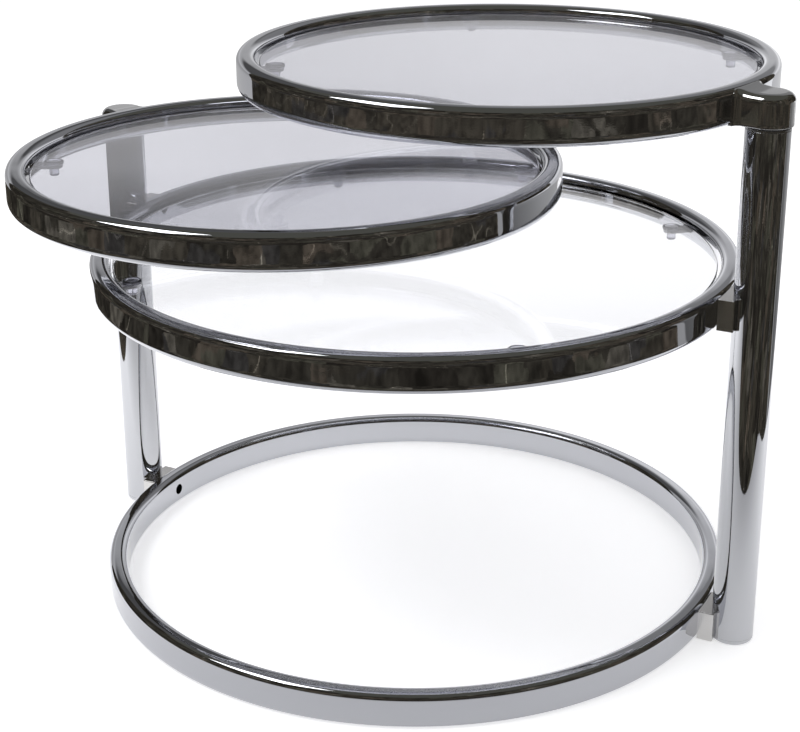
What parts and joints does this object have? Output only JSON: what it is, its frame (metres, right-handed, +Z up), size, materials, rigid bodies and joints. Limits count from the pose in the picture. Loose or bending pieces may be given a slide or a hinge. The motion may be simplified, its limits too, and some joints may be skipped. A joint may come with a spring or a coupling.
{
  "type": "swivel table",
  "caption": "Low side table of chromed rings and glass discs: a base ring and a fixed shelf between posts, each post carrying a glass tray that swivels.",
  "frame": {"origin": "on the floor, at the centre of the base ring", "axes": "+Z up; +X from the short post with the left tray to the tall post with the right tray; -Y towards the viewer of the picture"},
  "size_m": [0.5788, 0.5328, 0.427],
  "materials": {
    "chrome": "polished chrome plate on steel tube",
    "chrome_fittings": "chrome plate on cast and turned pieces, a little softer than the tube",
    "screw_steel": "zinc-plated steel",
    "plain_steel": "turned steel, oiled",
    "glass": "clear float glass, polished edge",
    "clear_plastic": "clear soft plastic",
    "nylon": "natural nylon"
  },
  "bodies": {
    "root": {"base_ring": "chrome", "shelf_ring": "chrome", "base_block_screws": "screw_steel", "shelf_block_screws": "screw_steel", "shelf_glass": "glass", "shelf_tabs": "chrome_fittings", "shelf_bumpers": "clear_plastic", "left_post": "chrome", "left_foot_plug": "chrome_fittings", "left_shelf_nut": "plain_steel", "left_base_block": "chrome_fittings", "left_shelf_block": "chrome_fittings", "left_pivot_sleeve": "plain_steel", "left_upper_bush": "nylon", "left_lower_bush": "nylon", "left_thrust_washer": "nylon", "right_post": "chrome", "right_foot_plug": "chrome_fittings", "right_shelf_nut": "plain_steel", "right_base_block": "chrome_fittings", "right_shelf_block": "chrome_fittings", "right_pivot_sleeve": "plain_steel", "right_upper_bush": "nylon", "right_lower_bush": "nylon", "right_thrust_washer": "nylon"},
    "left_tray": {"left_tray_ring": "chrome", "left_hub": "chrome_fittings", "left_pivot_pin": "plain_steel", "left_retaining_ring": "plain_steel", "left_tray_glass": "glass", "left_tray_tabs": "chrome_fittings", "left_tray_bumpers": "clear_plastic"},
    "right_tray": {"right_tray_ring": "chrome", "right_hub": "chrome_fittings", "right_pivot_pin": "plain_steel", "right_retaining_ring": "plain_steel", "right_tray_glass": "glass", "right_tray_tabs": "chrome_fittings", "right_tray_bumpers": "clear_plastic"}
  },
  "joints": [
    {"name": "left_swivel", "type": "hinge", "parent": "root", "child": "left_tray", "pos_m": [-0.272, 0, 0.332], "axis": [0, 0, 1], "continuous": true},
    {"name": "right_swivel", "type": "hinge", "parent": "root", "child": "right_tray", "pos_m": [0.272, 0, 0.4], "axis": [0, 0, 1], "continuous": true}
  ]
}
